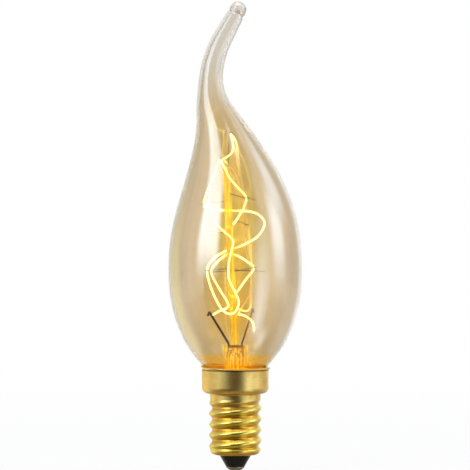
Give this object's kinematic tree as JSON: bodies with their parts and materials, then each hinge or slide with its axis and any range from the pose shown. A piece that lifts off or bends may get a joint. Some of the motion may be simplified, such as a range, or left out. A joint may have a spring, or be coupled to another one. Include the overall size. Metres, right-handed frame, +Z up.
{
  "type": "flame-tip filament lamp bulb",
  "caption": "Flame-shaped filament lamp bulb: pale amber glass drawn to a bent tip, hooked filament on a glass rod, small brass screw cap with a skirt.",
  "frame": {"origin": "lowest point of the centre contact, on the axis of the screw cap", "axes": "+Z up the cap's axis from the contact to the glass tip; the tip leans towards -X and curls back towards +X, in the XZ plane; -Y faces the viewer of the picture"},
  "size_m": [0.035, 0.035, 0.1227],
  "materials": {
    "amber_glass": "clear, pale amber, fire polished",
    "stem_glass": "clear, fire polished",
    "rod_glass": "clear, fire polished",
    "hook_wire": "drawn wire, dull",
    "filament_wire": "coiled wire, glowing",
    "lead_wire": "drawn wire, dull",
    "seal_wire": "copper-clad wire",
    "copper_wire": "drawn copper wire",
    "fuse_wire": "drawn wire, bright",
    "brass_sheet": "rolled sheet, satin",
    "black_glass": "opaque black, moulded",
    "contact_metal": "nickel plated, worn",
    "solder": "cast, dull bright",
    "cement": "baked, matt"
  },
  "bodies": {
    "root": {"glass_envelope": "amber_glass", "flare_stem": "stem_glass", "exhaust_tube": "stem_glass", "arbor_rod": "rod_glass", "crown_hook": "hook_wire", "top_hook": "hook_wire", "upper_left_hook": "hook_wire", "upper_right_hook": "hook_wire", "middle_left_hook": "hook_wire", "middle_back_hook": "hook_wire", "lower_left_hook": "hook_wire", "lower_front_hook": "hook_wire", "lower_right_hook": "hook_wire", "lower_back_hook": "hook_wire", "filament": "filament_wire", "left_inner_lead": "lead_wire", "right_inner_lead": "lead_wire", "left_seal_wire": "seal_wire", "right_seal_wire": "seal_wire", "side_lead": "copper_wire", "fuse_lead": "copper_wire", "fuse_wire": "fuse_wire", "contact_lead": "copper_wire", "cap_shell": "brass_sheet", "cap_insulator": "black_glass", "contact_plate": "contact_metal", "contact_solder": "solder", "side_solder": "solder", "capping_cement": "cement"}
  },
  "joints": []
}
